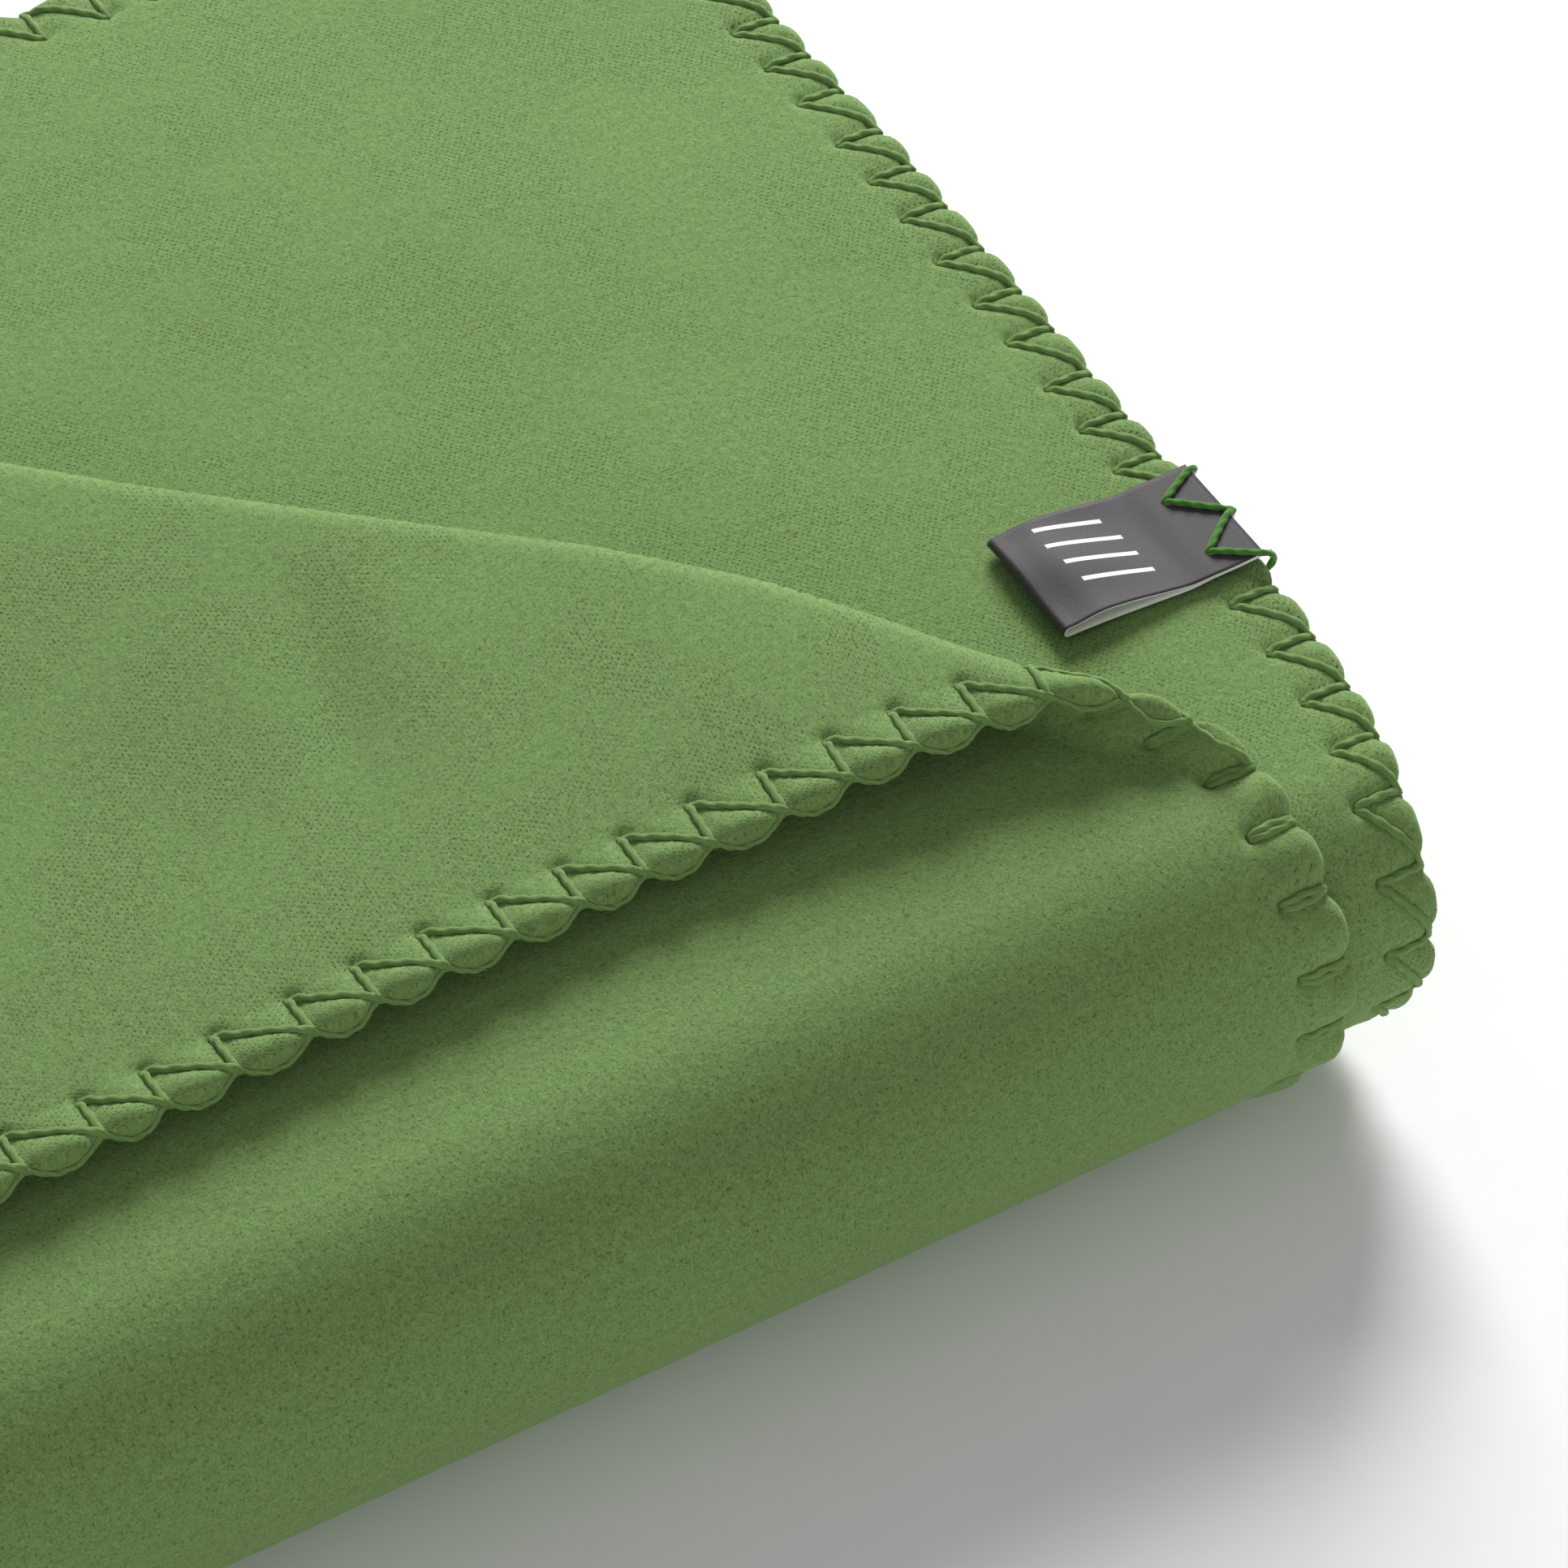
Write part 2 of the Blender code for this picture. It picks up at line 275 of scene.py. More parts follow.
STITCH_PITCH = 12.4 * MM
BITE = 10.2 * MM                     # how far in the holes are
DRAWN_IN = 1.9 * MM                  # how far a turn of yarn draws the edge in
TURN_WIDTH = 2.3 * MM                # what a turn of yarn squeezes, along the edge
SQUEEZED = 0.5                       # the share of its thickness that the fleece loses there
PULL_REACH, SQUEEZE_REACH = 5 * MM, 4.5 * MM
GROOVE = 0.6 * MM                    # how deep a strand beds in, and half the groove's width
FACE_GROOVE, REVERSE_GROOVE = 1.3 * MM, 1.9 * MM
FACE_PIT, REVERSE_PIT = 1.2 * MM, 1.3 * MM        # how deep the cloth dips at a hole
FACE_PILLOW, REVERSE_PILLOW = 0.65 * MM, 1.6 * MM
EDGE_ROUND = 2.8 * MM                # how far in the cut edge is rounded
NAP = 0.03 * MM                      # how uneven the brushed surface is
CORNER_ROUND = 8 * MM                # a corner is stitched round, not to a point
YARN = 0.8 * MM                      # half the yarn's width, as it lies pressed flat


def stitch_places(length, first, seed):
    """Where the holes are along a hem, as even as a hand-fed machine makes them."""
    jitter = np.random.default_rng(seed)
    places = np.arange(first, length - 5 * MM, STITCH_PITCH)
    return places + jitter.uniform(-0.7, 0.7, len(places)) * MM


def segment_distance(s, l, s0, l0, s1, l1):
    """How far each point is from a strand's straight leg."""
    square = (s1 - s0) ** 2 + (l1 - l0) ** 2
    t = np.clip(((s - s0) * (s1 - s0) + (l - l0) * (l1 - l0)) / square, 0, 1)
    return np.hypot(s - s0 - t * (s1 - s0), l - l0 - t * (l1 - l0))


def hem_relief(s, l, places):
    """How a stitched hem is drawn in, and its face and reverse relief; s is in from the edge."""
    pull = np.zeros(np.broadcast_shapes(s.shape, l.shape))
    face, reverse, squeeze = pull.copy(), pull.copy(), pull.copy()
    reach = 8 * MM
    for i, hole in enumerate(places):
        following = places[i + 1] if i + 1 < len(places) else hole + STITCH_PITCH
        near = slice(*np.searchsorted(l.ravel(), (hole - reach, following + reach)))
        ll = l[:, near]
        gap = following - hole
        pinch = np.exp(-((ll - hole) / TURN_WIDTH) ** 2)
        pull[:, near] += DRAWN_IN * pinch * np.exp(-s / PULL_REACH)
        squeeze[:, near] += SQUEEZED * pinch * np.exp(-s / SQUEEZE_REACH)
        square_leg = segment_distance(s, ll, BITE, hole, 0, hole)
        slant_leg = segment_distance(s, ll, BITE, hole, 0, following)
        leg = np.minimum(square_leg, slant_leg)
        pit = np.exp(-(np.hypot(s - BITE, ll - hole) / (1.0 * MM)) ** 2)
        face[:, near] -= GROOVE * np.exp(-(leg / FACE_GROOVE) ** 2) + FACE_PIT * pit
        reverse[:, near] -= GROOVE * np.exp(-(square_leg / REVERSE_GROOVE) ** 2) + REVERSE_PIT * pit
        between = np.sin(math.pi * np.clip((ll - hole) / gap, 0, 1)) ** 2
        pillow = between * np.clip(1 - s / BITE, 0, 1) ** 0.7
        face[:, near] += FACE_PILLOW * pillow
        reverse[:, near] += REVERSE_PILLOW * pillow
    return pull, face, reverse, np.clip(squeeze, 0, 0.6)


def lengths_along(points):
    """How far along a line of points each one is."""
    return np.concatenate([[0], np.cumsum(np.linalg.norm(np.diff(points, axis=0), axis=1))])


def make_cloth(middle, hem_across, hem_along, outside_is_face, seed, first=6 * MM):
    """Thickens a grid of middle points into cloth. hem_across stitches the edge where the
    first index is 0, hem_along the edge where the second is last."""
    thick_out = np.full(middle.shape[:2], PLY / 2)
    thick_in = thick_out.copy()
    shift = np.zeros_like(middle)
    hems = {}
    if hem_across:
        depth = lengths_along(middle[:, -1])
        run = lengths_along(middle[0, ::-1])
        hems["across"] = (depth, run)
    if hem_along:
        depth = lengths_along(middle[-1, ::-1])
        run = lengths_along(middle[:, -1])
        hems["along"] = (depth, run)
    cloth = {"hems": {}, "face_out": outside_is_face}
    to_round = np.ones(thick_out.shape)
    if len(hems) == 2:
        left = np.maximum(CORNER_ROUND - hems["across"][0], 1e-9)[:, None]
        right = np.maximum(CORNER_ROUND - hems["along"][0], 1e-9)[None, ::-1]
        to_round = np.maximum(left, right) / np.hypot(left, right)
    for number, (kind, (depth, run)) in enumerate(hems.items()):
        places = stitch_places(run[-1], first, seed + number)
        pull, face, reverse, squeeze = hem_relief(depth[:, None], run[None, :], places)
        edge = np.clip(depth[:, None] / EDGE_ROUND, 0, 1) + 0 * pull
        rounding = np.sqrt(np.clip(1 - (1 - edge) ** 2, 0.012, 1))
        reliefs = [pull, face, reverse, squeeze, rounding]
        if kind == "across":
            reliefs = [relief[:, ::-1] for relief in reliefs]
            inward = (middle[6] - middle[0])[None]
        else:
            reliefs = [relief.T[:, ::-1] for relief in reliefs]
            inward = (middle[:, -7] - middle[:, -1])[:, None]
        pull, face, reverse, squeeze, rounding = reliefs
        beyond = np.maximum(CORNER_ROUND - depth, 0)
        beyond = beyond[:, None] if kind == "across" else beyond[None, ::-1]
        pull = pull + beyond * (1 - to_round)
        shift += inward / np.linalg.norm(inward, axis=-1, keepdims=True) * pull[..., None]
        outer, inner = (face, reverse) if outside_is_face else (reverse, face)
        thick_out = (thick_out + outer) * (1 - squeeze) * rounding
        thick_in = (thick_in + inner) * (1 - squeeze) * rounding
        cloth["hems"][kind] = {"places": places, "run": run, "depth": depth}
    middle = middle + shift
    out = normals_of(middle)
    nap = np.random.default_rng(seed + 50).normal(0, NAP, (2, *thick_out.shape))
    thinnest = 0.12 * MM
    thick_out = np.maximum(thick_out, thinnest) + nap[0]
    thick_in = np.maximum(thick_in, thinnest) + nap[1]
    cloth["middle"] = middle
    cloth["outer"] = middle + out * thick_out[..., None]
    cloth["inner"] = middle - out * thick_in[..., None]
    # What would bulge down into the floor is pressed flat on it.
    for side in ("outer", "inner"):
        cloth[side][..., 2] = np.maximum(cloth[side][..., 2], 0.05 * MM)
    return cloth


def mesh_object(name, points, faces, uv, side, material):
    """A smooth mesh of quads; uv is in metres of cloth, side is 1 on the face and 0 on the reverse."""
    mesh = bpy.data.meshes.new(name)
    mesh.vertices.add(len(points))
    mesh.vertices.foreach_set("co", points.astype(np.float32).ravel())
    mesh.loops.add(faces.size)
    mesh.loops.foreach_set("vertex_index", faces.astype(np.int32).ravel())
    mesh.polygons.add(len(faces))
    mesh.polygons.foreach_set("loop_start", np.arange(0, faces.size, 4, dtype=np.int32))
    mesh.update(calc_edges=True)
    layer = mesh.uv_layers.new(name="cloth")
    layer.data.foreach_set("uv", uv[faces.ravel()].astype(np.float32).ravel())
    attribute = mesh.attributes.new("face_side", "FLOAT", "POINT")
    attribute.data.foreach_set("value", side.astype(np.float32))
    mesh.shade_smooth()
    mesh.materials.append(material)
    piece = bpy.data.objects.new(name, mesh)
    bpy.context.scene.collection.objects.link(piece)
    return piece


def cloth_object(name, cloth, uv_a, uv_t, material, kept=None):
    """One closed mesh: both sides of the cloth, or of the kept quads of it, joined round the rim."""
    na, nt = cloth["outer"].shape[:2]
    if kept is None:
        kept = np.ones((na - 1, nt - 1), bool)
    index = np.arange(na * nt).reshape(na, nt)
    under = na * nt
    quads = np.stack([index[:-1, :-1], index[:-1, 1:], index[1:, 1:], index[1:, :-1]], -1)[kept]
    padded = np.pad(kept, 1)
    walls = []
    for before, after, start, end in (
            (padded[:-1, 1:-1], padded[1:, 1:-1], index[:, :-1], index[:, 1:]),
            (padded[1:-1, 1:], padded[1:-1, :-1], index[:-1, :], index[1:, :])):
        for edge, a, b in ((after & ~before, start, end), (before & ~after, end, start)):
            walls.append(np.stack([b[edge], a[edge], a[edge] + under, b[edge] + under], -1))
    rim = np.concatenate(walls)
    faces = np.concatenate([quads, quads[:, ::-1] + under, rim])
    points = np.concatenate([cloth["outer"].reshape(-1, 3), cloth["inner"].reshape(-1, 3)])
    bulges = [np.linalg.norm(cloth[side] - cloth["middle"], axis=-1) for side in ("outer", "inner")]
    uv = np.concatenate([np.stack([uv_a[:, None] + bulge, uv_t[None, :] - bulge], -1).reshape(-1, 2)
                         for bulge in bulges])
    outside = float(cloth["face_out"])
    side = np.concatenate([np.full(under, outside), np.full(under, 1 - outside)])
    used, renumbered = np.unique(faces, return_inverse=True)
    piece = mesh_object(name, points[used], renumbered.reshape(-1, 4), uv[used], side[used], material)
    if not kept.all():
        # Where the cloth is split, the rim is sharp, so that both parts shade as one surface.
        pairs = np.sort(np.concatenate([rim[:, (0, 1)], rim[:, (3, 2)]]), axis=1)
        a, t = pairs % under // nt, pairs % under % nt
        inside = np.all((a > 0) & (a < na - 1) & (t > 0) & (t < nt - 1), axis=1)
        edges = np.empty(len(piece.data.edges) * 2, np.int64)
        piece.data.edges.foreach_get("vertices", edges)
        edges = np.sort(used[edges.reshape(-1, 2)], axis=1)
        sharp = np.isin(edges @ [2 * under, 1], pairs[inside] @ [2 * under, 1])
        piece.data.attributes.new("sharp_edge", "BOOLEAN", "EDGE").data.foreach_set("value", sharp)
    return piece


# Fleece: a circular knit of polyester spun from used bottles, dyed olive green and brushed on
# both sides. The nap hides most of the knit: on the face, rows of small loops show through
# as dark dashes; the reverse is fluffier. It gives no gloss, only a soft light rim.

LOOP_WIDTH = 1.25 * MM
LOOP_HEIGHT = 0.75 * MM


def brushed_fleece(name, light, dark):
    material, tree, surface = new_material(name)
    place = add_node(tree, "ShaderNodeUVMap", uv_map="cloth")
    value = {
        "side": add_node(tree, "ShaderNodeAttribute", output="Fac", attribute_name="face_side"),
        "width": add_node(tree, "ShaderNodeSeparateXYZ", {"Vector": place}, "X"),
        "length": add_node(tree, "ShaderNodeSeparateXYZ", {"Vector": place}, "Y")}

    # Single fibres are 0.02 mm thick, too fine to show, so they are drawn 0.43 mm apart.
    for what, size, detail, distortion, roughness in (
            ("wander", 6 * MM, 2.0, 0.0, 0.55), ("worn", 26 * MM, 3.0, 0.0, 0.55),
            ("seen", 1.05 * MM, 1.0, 0.0, 0.55), ("fibres", 0.43 * MM, 3.0, 0.5, 0.7),
            ("tufts", 1.5 * MM, 3.0, 0.4, 0.55), ("clouds", 60 * MM, 4.0, 0.0, 0.55),
            ("specks", 0.67 * MM, 1.0, 0.3, 0.55)):
        value[what] = add_node(tree, "ShaderNodeTexNoise", {
            "Vector": place, "Scale": 1 / size, "Detail": detail, "Distortion": distortion,
            "Roughness": roughness}, noise_dimensions="2D")

    # The loops: wavering rows, every other row shifted by half a loop, and a dash in each loop.
    for made, operation, *given in (
            ("wander", "MULTIPLY_ADD", "wander", 0.9, -0.45),
            ("rows", "MULTIPLY_ADD", "length", 1 / LOOP_HEIGHT, "wander"),
            ("row", "FLOOR", "rows"),
            ("columns", "MULTIPLY_ADD", "row", 0.5, "wander"),
            ("columns", "MULTIPLY_ADD", "width", 1 / LOOP_WIDTH, "columns"),
            ("across", "FRACT", "columns"),
            ("across", "SUBTRACT", "across", 0.5),
            ("across", "ABSOLUTE", "across"),
            ("across", "MULTIPLY_ADD", "across", -3.1, 1.0),
            ("within", "FRACT", "rows"),
            ("within", "SUBTRACT", "within", 0.5),
            ("within", "ABSOLUTE", "within"),
            ("within", "MULTIPLY_ADD", "within", -3.6, 1.0),
            ("dash", "MULTIPLY", "across", "within"),
            ("mottle", "MULTIPLY", "tufts", 0.28),
            ("mottle", "MULTIPLY_ADD", "fibres", 0.72, "mottle")):
        sockets = {number: value.get(one, one) for number, one in enumerate(given)}
        value[made] = add_node(tree, "ShaderNodeMath", sockets, operation=operation)

    # Each is stretched to run from 0 to 1.
    for what, low, high, blend in (
            ("dash", 0.1, 0.75, "SMOOTHSTEP"), ("worn", 0.38, 0.58, "LINEAR"),
            ("seen", 0.36, 0.52, "LINEAR"), ("mottle", 0.3, 0.7, "LINEAR"),
            ("specks", 0.64, 0.74, "LINEAR")):
        value[what] = add_node(tree, "ShaderNodeMapRange", {
            "Value": value[what], "From Min": low, "From Max": high}, interpolation_type=blend)

    # Dashes, specks and slow clouds darken the cloth; fibres and tufts stand up, dashes lie low.
    for made, operation, *given in (
            ("knit", "MULTIPLY", "dash", "worn"),
            ("knit", "MULTIPLY", "knit", "seen"),
            ("knit", "MULTIPLY", "knit", "side"),
            ("shade", "MULTIPLY_ADD", "knit", -0.8, 1.0),
            ("specks", "MULTIPLY_ADD", "specks", -0.4, 1.0),
            ("shade", "MULTIPLY", "shade", "specks"),
            ("clouds", "MULTIPLY_ADD", "clouds", 0.14, 0.93),
            ("shade", "MULTIPLY", "shade", "clouds"),
            ("height", "MULTIPLY", "tufts", 0.9),
            ("height", "MULTIPLY_ADD", "fibres", 0.5, "height"),
            ("height", "MULTIPLY_ADD", "knit", -0.7, "height")):
        sockets = {number: value.get(one, one) for number, one in enumerate(given)}
        value[made] = add_node(tree, "ShaderNodeMath", sockets, operation=operation)

    tone = add_node(tree, "ShaderNodeMix", {
        "Factor": value["mottle"], "A": linear(dark), "B": linear(light)}, "Result", data_type="RGBA")
    colour = add_node(tree, "ShaderNodeVectorMath", {0: tone, 1: value["shade"]}, operation="MULTIPLY")
    relief = add_node(tree, "ShaderNodeBump", {
        "Height": value["height"], "Strength": 0.4, "Distance": 0.4 * MM})
    shader = add_node(tree, "ShaderNodeBsdfPrincipled", {
        "Base Color": colour, "Roughness": 0.95, "IOR": 1.5, "Specular IOR Level": 0.12,
        "Sheen Weight": 0.35, "Sheen Roughness": 0.5, "Sheen Tint": linear("#C9E2B0"),
        "Normal": relief})
    tree.links.new(shader, surface)
    return material


fleece = brushed_fleece("brushed_olive_fleece", "#83A163", "#58753C")


# Turning the corner back: the ply rolls up along a line at 45 degrees, which bows a little,
# and the flap beyond it settles on the ply below. The hem runs on along the flap's near edge.

joints = {joint["name"]: joint for joint in frame["joints"]}
TIP = Vector(joints["corner_turn"]["pos_m"])
RIDGE = TIP.x + TIP.y - 5 * MM       # x + y where the roll starts, but for its bow
HEM_STEP = 1.5 * MM                  # how much further in each ply's back hem lies
ROLL = 4.2 * MM                      # the radius of the roll, and by how much it is fuller near
FULLER = 2.6 * MM                    # the stitched front corner, and how soon that fades
FULLER_REACH = 32 * MM
FLAP_LIFT = 6.3 * MM                 # how high the flap lies over its own ply
UPTURN = 2.6 * MM                    # how much its stitched edge curls up
DENT = (44.5 * MM, -43.5 * MM)       # the middle of a soft crease in the flap
DENT_DEPTH = 1.7 * MM


def smooth_line(places, values):
    """A soft curve through a few places, as a function."""
    fine = np.linspace(places[0], places[-1], 400)
    raw = np.interp(fine, places, values)
    reach = 17
    kernel = np.hanning(reach + 2)[1:-1]
    padded = np.concatenate([np.full(reach // 2, raw[0]), raw, np.full(reach // 2, raw[-1])])
    return lambda value: np.interp(value, fine, np.convolve(padded, kernel / kernel.sum(), "valid"))


ridge_line = smooth_line(
    np.array([-60, 0, 20, 40, 60, 90, 130, 170, 230, 300]) * MM,
    np.array([-10, -10, -4, 3.5, 9, 10.5, 6.5, 2.5, 0, 0]) / math.sqrt(2) * MM)


def past_ridge(x, y, z):
    """How far beyond the start of the roll a point of the flat leaf is, square to the ridge."""
    along = (y - x - (TIP.y - TIP.x)) / math.sqrt(2)
    bow = ridge_line(along)
    past = (x + y - RIDGE) / math.sqrt(2) - bow
    return np.where(z > FOLD_Z, past, -1), along, bow


def roll_corner(points, inside):
    """Turns what lies past the ridge up and back over itself; inside is how far in from the hem."""
    x, y, z = points[..., 0], points[..., 1], points[..., 2]
    past, along, bow = past_ridge(x, y, z)
    roll = ROLL + FULLER * np.exp(-np.clip(along, 0, None) / FULLER_REACH)
    angle = np.clip(past / roll, 0, math.pi)
    beyond = np.clip(past - math.pi * roll, 0, None)
    bowed = 2 * bow * (np.exp(-beyond / (70 * MM)) - 1)
    moved = np.where(past > 0, roll * np.sin(angle) - beyond + bowed - past, 0)
    settled = (2 * roll - FLAP_LIFT) * smooth(beyond, 0, 70 * MM)
    upturned = UPTURN * np.clip(1 - inside / (12 * MM), 0, 1) ** 2 * smooth(beyond, 4 * MM, 20 * MM)
    wave = 0.45 * MM * swell(x, y, 31, 90 * MM) * smooth(beyond, 5 * MM, 40 * MM)
    lies_x, lies_y = x + moved / math.sqrt(2) - DENT[0], y + moved / math.sqrt(2) - DENT[1]
    beside, lengthwise = 0.95 * lies_x - 0.32 * lies_y, 0.32 * lies_x + 0.95 * lies_y
    dent = DENT_DEPTH * np.exp(-(beside / (8 * MM)) ** 2 - (lengthwise / (24 * MM)) ** 2)
    beside_dent = (beside - 17 * MM) / (12 * MM)
    dent = dent - 0.5 * MM * np.exp(-beside_dent ** 2 - (lengthwise / (30 * MM)) ** 2)
    dent = dent * smooth(beyond, 4 * MM, 16 * MM)
    lift = np.where(past > 0, roll * (1 - np.cos(angle)) - settled + wave - dent + upturned, 0)
    return np.stack([x + moved / math.sqrt(2), y + moved / math.sqrt(2), z + lift], axis=-1)


def hem_place(tau, hem_y):
    """How far along the profile tau is, in metres from the front fold's top: + over, - round."""
    over = np.clip(tau - 4, 0, 1) * (hem_y - FRONT_Y)
    around = np.clip(tau - 4, -1, 0) * math.pi * 28 * MM
    under = np.clip(tau - 3, -3, 0) * (BACK_Y - FRONT_Y)
    return over + around + under


def across_lines(hem_x, left_fold, coarse):
    """Lines across a ply: distance in from the hem, then the angle round the left fold, tuck."""
    length = hem_x - LEFT_X
    lines = from_hem(length, BAND_STEP, coarse)
    turn = np.linspace(0, math.pi, left_fold + 1)[1:]
    tuck = np.array([TUCK / 2, TUCK])
    inside = np.concatenate([lines, np.full(len(turn) + 2, length)])
    angle = np.concatenate([np.zeros(len(lines)), turn, np.full(2, math.pi)])
    back = np.concatenate([np.zeros(len(lines) + len(turn)), tuck])
    return inside, angle, back


def ply_grid(ply, partner, hem_line, lines, tau, hem_y):
    """The middle of a ply, its left fold and a tuck into the ply that it joins."""
    inside, angle, back = (v[:, None] for v in lines)
    r0, r1 = ply_radius(ply), ply_radius(partner)
    rho = (r0 - r1) / 2
    radius = (r0 + r1) / 2 + rho * np.cos(angle)
    hem = hem_line(hem_place(tau, hem_y))[None, :]
    x = hem - inside * (hem - LEFT_X) / inside.max()
    x = x - abs(rho) * np.sin(angle) + back
    return profile_point(x, radius, tau[None, :], hem_y)


def limp(points):
    """The slow unevenness of a soft stack, the same for every ply, and always inwards."""
    x, y, z = points[..., 0], points[..., 1], points[..., 2]
    wave = 0.35 * MM + 0.35 * MM * swell(x, y + z, 5, 120 * MM)
    visible = smooth(z, 8 * MM, 30 * MM)
    return points - normals_of(points) * (wave * visible)[..., None]


def flat_lengths(middle):
    """The cloth coordinates of a grid's lines, in metres, measured before anything is rolled."""
    return lengths_along(middle[:, middle.shape[1] // 2]), lengths_along(middle[middle.shape[0] // 2])


def back_hem_y(ply):
    """Where a ply's back hem ends; the innermost plies reach furthest."""
    return cad_high.y - (7 - ply) * HEM_STEP


# Where the hem wanders as it was laid: how far along the profile, and x of the edge there.
outer_hem_line = smooth_line(
    np.array([-420, -110, -88, -78, -68, -62, -55, -49, -40, -25, -13, -2, 6, 12, 18, 27, 37, 60, 75,
              95, 117, 171, 212, 260, 320]) * MM,
    np.array([170, 170, 166, 162, 162, 166, 170, 171, 171.8, 172, 172.2, 173, 173, 171, 168, 163,
              160, 162.5, 164, 166, 166.5, 167, 168, 169, 170]) * MM)
outer_lines = across_lines(cad_high.x - 30 * MM, 12, 2.2 * MM)
outer_tau = along_profile(back_hem_y(0), top_step=1.4 * MM, front_step=1 / 80, low_step=3.0 * MM,
                          back_fold=True)
outer_middle = ply_grid(0, 3, outer_hem_line, outer_lines, outer_tau, back_hem_y(0))
outer_u, outer_v = flat_lengths(outer_middle)
past = past_ridge(*np.moveaxis(outer_middle, -1, 0))[0]
turned = (past[:-1, :-1] + past[1:, :-1] + past[:-1, 1:] + past[1:, 1:]) > 0
outer_cloth = make_cloth(roll_corner(limp(outer_middle), outer_lines[0][:, None]), hem_across=True,
                         hem_along=True, outside_is_face=False, seed=11)
outer_leaf = cloth_object("outer_ply", outer_cloth, outer_u, outer_v, fleece, ~turned)
turned_corner = cloth_object("turned_corner", outer_cloth, outer_u, outer_v, fleece, turned)
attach(outer_leaf, "folded_blanket")
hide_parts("outer_leaf")
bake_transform(turned_corner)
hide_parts("corner_flap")


# ------------------------------------------------------------------ the ply with the label
# The next ply down, face side out. It stands further out than the outer ply, so its stitched
# hem shows all along the right-hand side, and the label is caught in that hem.

label_hem_line = smooth_line(
    np.array([-420, -110, -88, -75, -62, -54, -42, -35, -27, -13, -4, 9, 30, 47, 71, 87, 116, 143,
              170, 230, 320]) * MM,
    np.array([198, 190, 186, 185, 188.5, 190.1, 190.3, 191, 191.3, 192.5, 194.8, 198, 200.5, 201.1, 201,
              201.4, 202.4, 202.3, 203.1, 202, 201]) * MM)
label_lines = across_lines(cad_high.x, 10, 2.5 * MM)
label_tau = along_profile(back_hem_y(1), top_step=1.4 * MM, front_step=1 / 70, low_step=3.0 * MM,
                          back_fold=True)
label_middle = ply_grid(1, 2, label_hem_line, label_lines, label_tau, back_hem_y(1))
label_u, label_v = flat_lengths(label_middle)
FIRST_HOLE = 10.7 * MM               # from the corner, so that two holes fall on the label
label_cloth = make_cloth(limp(label_middle), hem_across=True, hem_along=True, outside_is_face=True,
                         seed=21, first=FIRST_HOLE)
label_leaf = cloth_object("label_ply", label_cloth, label_u + 0.8, label_v, fleece)
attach(label_leaf, "folded_blanket")
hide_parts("label_leaf")


# ------------------------------------------------------------------ the plies inside
# Two pairs of plies are joined at the right by a fold, and the two innermost end in hems.
# They show only as edges at the right, at the left folds and at the back.


def pair_grid(ply, right_x, tau, hem_y):
    """Two plies joined by a fold at the right, from the tuck of the left fold and back to it."""
    start = LEFT_X + TUCK - 2 * MM
    r0, r1 = ply_radius(ply), ply_radius(ply + 1)
    rho = (r0 - r1) / 2
    straight = steps(start, right_x - rho, 2.5 * MM)
    angle = np.linspace(0, math.pi, 9)
    x = np.concatenate([straight, right_x - rho + rho * np.sin(angle), straight[::-1]])
    turn = np.concatenate([0 * straight, angle, 0 * straight + math.pi])
    radius = (r0 + r1) / 2 + rho * np.cos(turn)
    return profile_point(x[:, None], radius[:, None], tau[None, :], hem_y)


inner_cloths = {}
for ply, set_in in ((2, 16 * MM), (4, 18 * MM)):
    tau = along_profile(back_hem_y(ply), top_step=12 * MM, front_step=1 / 30, low_step=12 * MM,
                        back_fold=ply < 4)
    middle = pair_grid(ply, cad_high.x - set_in, tau, back_hem_y(ply))[::-1]
    cloth = make_cloth(limp(middle), hem_across=False, hem_along=True, outside_is_face=ply % 2 == 1,
                       seed=30 + ply)
    u, v = flat_lengths(middle)
    piece = cloth_object(f"inner_plies_{ply}_{ply + 1}", cloth, u, v, fleece)
    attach(piece, "folded_blanket")
    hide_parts(f"inner_pair_{ply}_{ply + 1}")
    inner_cloths[ply] = (cloth, piece, u, v)
for ply, partner, set_in in ((6, 5, 10 * MM), (7, 4, 14 * MM)):
    hem_x = cad_high.x - set_in
    tau = along_profile(back_hem_y(ply), top_step=2.5 * MM, front_step=1 / 30, low_step=3 * MM,
                        back_fold=False)
    middle = ply_grid(ply, partner, smooth_line([-0.42, 0.32], [hem_x, hem_x]),
                      across_lines(hem_x, 6, 2.5 * MM), tau, back_hem_y(ply))
    cloth = make_cloth(limp(middle), hem_across=True, hem_along=True, outside_is_face=ply % 2 == 1,
                       seed=30 + ply)
    u, v = flat_lengths(middle)
    piece = cloth_object(f"inner_ply_{ply}", cloth, u, v, fleece)
    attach(piece, "folded_blanket")
    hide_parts(f"inner_leaf_{ply}")
    inner_cloths[ply] = (cloth, piece, u, v)


# ------------------------------------------------------------------ the overstitching yarn
# Soft two-ply acrylic yarn in the blanket's own green. At each hole one strand goes square
# to the edge and one slants to the next turn; both wrap round the edge to the reverse. A
# third runs along the edge from turn to turn, but for the outer ply's own, where it is sunk.

HALF_APART = 0.5 * MM                # half the distance of a pair of strands, on the reverse
LAID_ON = 0.42                       # how proud a strand lies, as a share of YARN
TWIST = 1 / (1.1 * MM)               # how fast its two plies turn, in radians a metre


